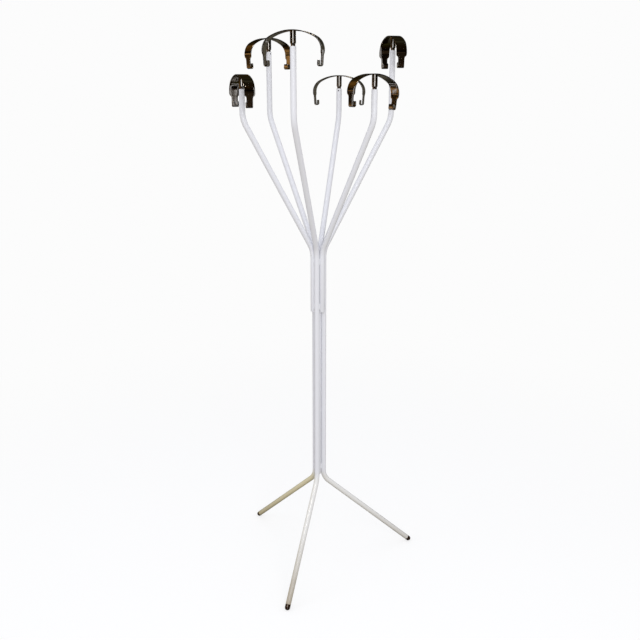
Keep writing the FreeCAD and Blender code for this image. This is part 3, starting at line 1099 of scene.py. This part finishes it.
@dataclass(frozen=True)
class Studio:
    """Pale floor, soft light, a dim room for the chrome to mirror, and the camera. Sizes are in metres."""

    camera_azimuth: float = 17.0  # degrees round from the front leg
    camera_distance: float = 2.517  # from the column's axis
    camera_height: float = 1.655
    camera_side_step: float = 0.00514
    camera_pitch: float = 16.79  # degrees down
    lens: float = 43.89
    aim_height: float = 1.0  # where the lights point
    floor_size: float = 60.0
    floor_fade: tuple[float, float] = (0.5, 2.6)  # from floor to background
    floor_matt: str = "969696"
    floor_glow: str = "D9D9D9"
    pale: str = "FCFCFC"
    white_strength: float = 0.94
    far_wall: str = "504D44"  # at eye level behind the object
    patch_scale: float = 4.5  # light and dark patches on the walls
    patch_strengths: tuple[float, float] = (0.45, 1.6)
    window: str = "F2F4FA"  # behind the camera
    window_strength: float = 2.4
    window_degrees: tuple[float, float] = (12.0, 9.0)  # half its width, where it starts and is full
    lamp: str = "FFF1DE"  # on the ceiling
    lamp_strength: float = 12.0
    lamp_way: tuple[float, float, float] = (0.05, -0.5, 0.865)
    lamp_edge: float = 0.985  # cosine of its half-angle

    def camera(self) -> None:
        """Sets up the camera at eye level."""
        angle, pitch = math.radians(self.camera_azimuth), math.radians(self.camera_pitch)
        back = Vector((math.sin(angle), -math.cos(angle), 0))
        right = Vector((math.cos(angle), math.sin(angle), 0))
        data = bpy.data.cameras.new("camera")
        data.lens, data.sensor_width, data.clip_end = self.lens, 36.0, 100.0
        camera = bpy.data.objects.new("camera", data)
        camera.location = (back * self.camera_distance + right * self.camera_side_step
                           + UP * self.camera_height)
        look = -back * math.cos(pitch) - UP * math.sin(pitch)
        camera.rotation_euler = look.to_track_quat("-Z", "Y").to_euler()
        bpy.context.scene.collection.objects.link(camera)
        bpy.context.scene.camera = camera

    def floor(self) -> None:
        """Lays a pale floor that fades into the background."""
        shape = bmesh.new()
        bmesh.ops.create_circle(shape, cap_ends=True, segments=64, radius=self.floor_size / 2 / MM)
        floor = new_piece(shape, "floor", Stand())
        material, add, place = new_material("pale_floor")
        away = add("VectorMath", (place,), output="Value", operation="LENGTH")
        fade = add("MapRange", (away, *self.floor_fade), interpolation_type="SMOOTHSTEP")
        near = add("AddShader", (add("BsdfDiffuse", (linear(self.floor_matt),)),
                                 add("Emission", (linear(self.floor_glow),))))
        far = add("Emission", (linear(self.pale),))
        add("OutputMaterial", (add("MixShader", (fade, near, far)),))
        floor.data.materials.append(material)
        floor.visible_glossy = floor.visible_diffuse = False

    def light(self, name: str, place: tuple[float, float, float], size: float, watts: float,
              tint: str) -> None:
        """Hangs one soft light, aimed at the middle of the object.

        Args:
            name: The light's name.
            place: Where it hangs.
            size: Length of its square face.
            watts: Its power.
            tint: Its colour.
        """
        data = bpy.data.lights.new(name, "AREA")
        data.size, data.energy, data.color = size, watts, linear(tint)[:3]
        lamp = bpy.data.objects.new(name, data)
        lamp.location = place
        aim = UP * self.aim_height - lamp.location
        lamp.rotation_euler = aim.to_track_quat("-Z", "Y").to_euler()
        lamp.visible_glossy = False
        bpy.context.scene.collection.objects.link(lamp)

    def mirrored_room(self, add: Callable, way: NodeSocket,
                      level: NodeSocket) -> NodeSocket:
        """The dim room that glossy surfaces see, with its window and ceiling lamp.

        Args:
            add: add_node for the world's tree.
            way: The direction looked in.
            level: Its height, from 0 straight down to 1 straight up.

        Returns:
            The room's light.
        """
        axes = add("SeparateXYZ", (way,)).node.outputs
        front = add("Math", (axes["Y"], -1), operation="MULTIPLY")
        angle = add("Math", (axes["X"], front), operation="ARCTAN2")
        walls = add("ValToRGB", (add("MapRange", (angle, -math.pi, math.pi)),))
        set_stops(walls.node, WALLS)
        storeys = add("ValToRGB", (level,))
        set_stops(storeys.node, STOREYS)
        lit = add("Mix", (1, walls, storeys), data_type="RGBA", blend_type="MULTIPLY")
        behind = add("MapRange", (axes["Y"], 0.55, 0.9))
        eye_level = add("MapRange", (axes["Z"], 0.4, 0.12))
        beyond = add("Math", (behind, eye_level), operation="MULTIPLY")
        sides = add("Mix", (beyond, lit, linear(self.far_wall)), data_type="RGBA")
        patches = add("TexNoise", {"Vector": way, "Scale": self.patch_scale, "Detail": 3})
        contrast = add("MapRange", (patches, 0.35, 0.65, *self.patch_strengths))
        turned = add("Math", (angle, math.radians(self.camera_azimuth)), operation="SUBTRACT")
        aside = add("Math", (turned,), operation="ABSOLUTE")
        wide = add("MapRange", (aside, *map(math.radians, self.window_degrees)))
        tall = add("MapRange", (axes["Z"], -0.3, -0.2))
        pane = add("Math", (wide, tall), operation="MULTIPLY")
        walled = add("MixShader", (pane, add("Background", (sides, contrast)),
                                   add("Background", (linear(self.window), self.window_strength))))
        toward = add("VectorMath", (way, self.lamp_way), output="Value", operation="DOT_PRODUCT")
        bulb = add("Math", (toward, self.lamp_edge), operation="GREATER_THAN")
        return add("MixShader", (bulb, walled, add("Background", (linear(self.lamp), self.lamp_strength))))

    def room(self) -> None:
        """Gives soft white light, and a dim brown room with one window to whatever is glossy."""
        world = bpy.data.worlds.new("studio")
        world.use_nodes = True
        world.cycles.sampling_method = "NONE"  # so that the chrome meets the room and never the white light
        world.node_tree.nodes.clear()
        add = partial(add_node, world.node_tree)
        way = add("TexCoord", output="Generated")
        level = add("MapRange", (add("SeparateXYZ", (way,), output="Z"), -1))
        softbox = add("ValToRGB", (level,))
        set_stops(softbox.node, SOFTBOX)
        white = add("Background", (softbox, self.white_strength))
        seen = add("Background", (linear(self.pale), 1))
        path = add("LightPath").node.outputs
        shown = add("MixShader", (path["Is Camera Ray"], white, seen))
        room = self.mirrored_room(add, way, level)
        add("OutputWorld", (add("MixShader", (path["Is Glossy Ray"], shown, room)),))
        bpy.context.scene.world = world

    def build(self) -> None:
        """Sets up the whole studio."""
        bpy.context.scene.view_settings.view_transform = "Standard"
        self.camera()
        self.floor()
        self.room()
        self.light("key", (1.6, -3.2, 2.2), size=1.8, watts=54, tint="FFFFFF")
        self.light("fill", (-2.6, -1.8, 2.0), size=1.6, watts=12, tint="F4F6FF")
        self.light("top", (0.2, 0.8, 3.4), size=2.0, watts=5, tint="FFFFFF")


def main() -> None:
    """Builds the studio, the frame and the hooks in order."""
    Studio().build()
    finishes = Finishes()
    finishes.dress_nodes()
    arms = [Arm.from_joint(joint) for joint in frame["joints"]]
    Tubework(finishes).build(arms)
    hook = StripHook(finishes)
    for arm in arms:
        hook.build(arm, HOOK_TURNS.get(arm.name, 0.0), HOOK_LEANS.get(arm.name, 0.0))


if __name__ == "__main__":
    main()
